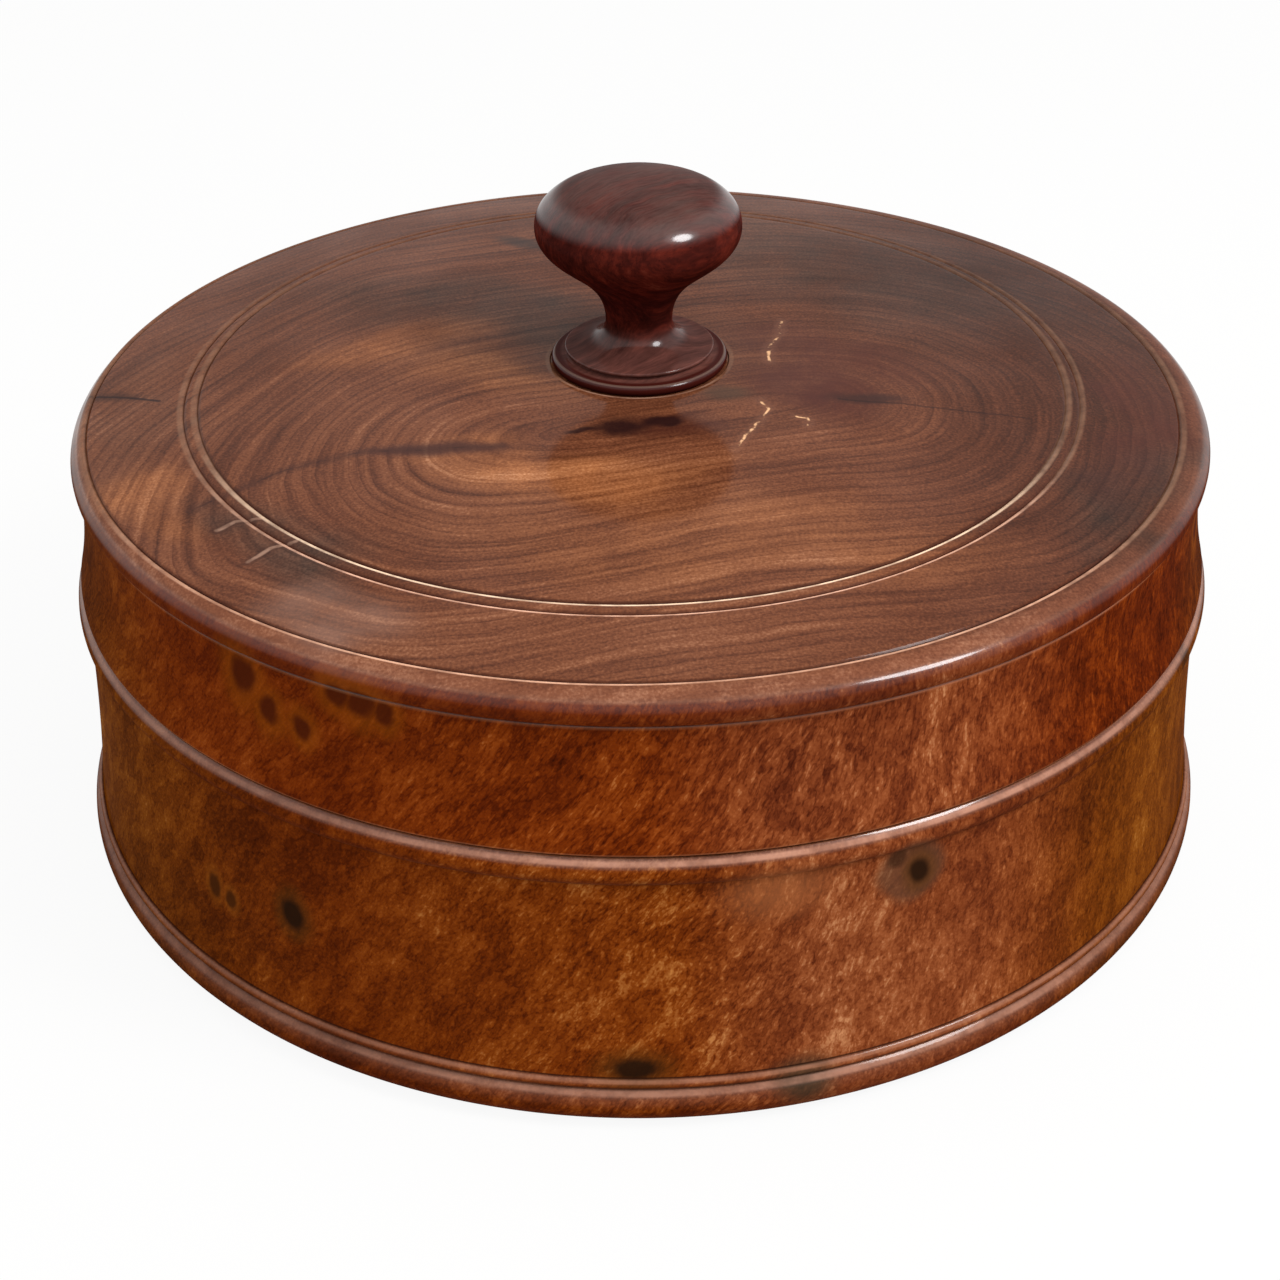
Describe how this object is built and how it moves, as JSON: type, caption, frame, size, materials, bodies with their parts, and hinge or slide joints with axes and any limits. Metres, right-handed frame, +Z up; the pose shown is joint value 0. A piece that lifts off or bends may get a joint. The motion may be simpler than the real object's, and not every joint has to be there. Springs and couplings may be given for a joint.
{
  "type": "lidded box",
  "caption": "Round lidded box turned from burl log, with beaded rims, a slightly domed lift-off lid and a dark turned knob.",
  "frame": {"origin": "middle of the standing ring, on the surface that the box stands on", "axes": "+Z up along the axis that the box was turned on, -Y towards the pictured front, +X to the right of it"},
  "size_m": [0.2088, 0.2088, 0.1175],
  "materials": {
    "burl": "polished, old shellac",
    "burl_end_grain": "polished, old shellac",
    "rosewood": "gloss polish",
    "wedge_wood": "raw"
  },
  "bodies": {
    "box": {"box_body": "burl"},
    "lid": {"lid": "burl_end_grain", "knob": "rosewood", "knob_wedge": "wedge_wood"}
  },
  "joints": [
    {"name": "lid_lift", "type": "slide", "parent": "box", "child": "lid", "axis": [0, 0, 1], "range_m": [0, 0.12]}
  ]
}
